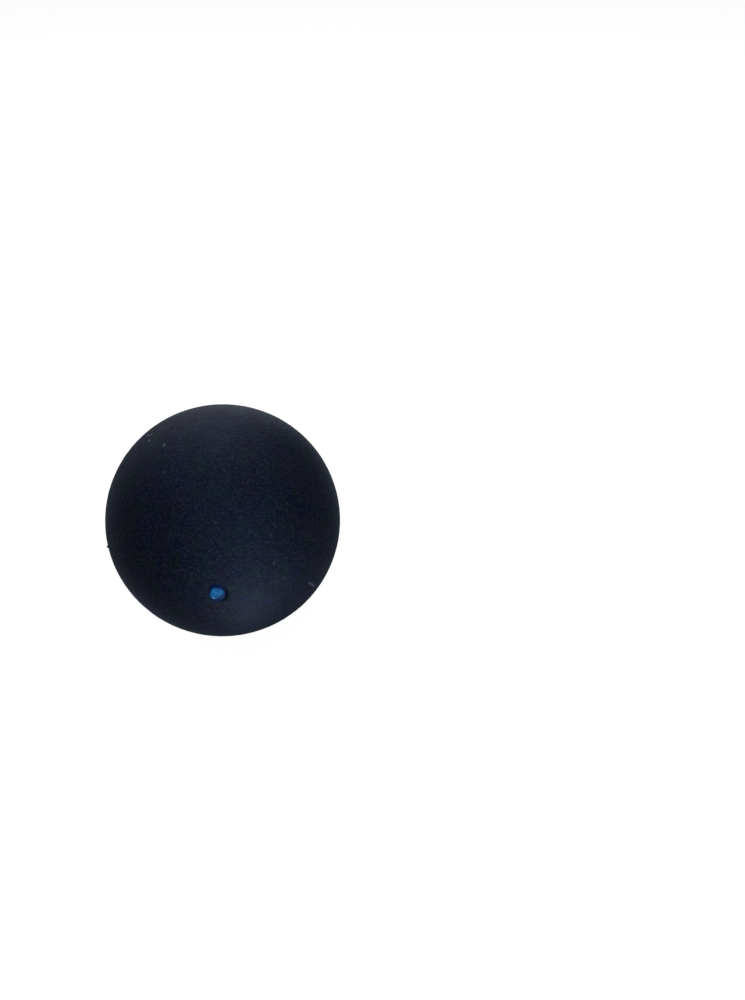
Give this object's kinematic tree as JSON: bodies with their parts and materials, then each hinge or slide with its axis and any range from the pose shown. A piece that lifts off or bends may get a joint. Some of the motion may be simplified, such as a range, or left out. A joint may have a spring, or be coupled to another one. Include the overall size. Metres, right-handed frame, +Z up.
{
  "type": "squash ball",
  "caption": "Hollow rubber squash ball: thick moulded half shells cemented edge to edge and buffed to a matt sphere, with a small painted speed dot.",
  "frame": {"origin": "the centre of the ball, which is also its centre of mass; the dot's paint stands 0.25 mm proud on the -Y side", "axes": "+Z up; the cemented joint lies in the XZ plane; -Y runs out through the pole of the front half, where the speed dot is; +X is to the right of someone who looks at the dot"},
  "size_m": [0.04, 0.0402, 0.04],
  "materials": {
    "front_half_shell": "blue-black filled rubber, buffed matt, with a fine grain and a soft sheen at grazing angles",
    "rear_half_shell": "blue-black filled rubber, buffed matt, with a fine grain and a soft sheen at grazing angles",
    "seam_cement": "cured rubber cement, buffed flush outside and left as a smooth round bead inside",
    "speed_dot": "opaque mid-blue paint, slightly domed, with a soft gloss"
  },
  "bodies": {
    "root": {"front_half_shell": "front_half_shell", "rear_half_shell": "rear_half_shell", "seam_cement": "seam_cement", "speed_dot": "speed_dot"}
  },
  "joints": []
}
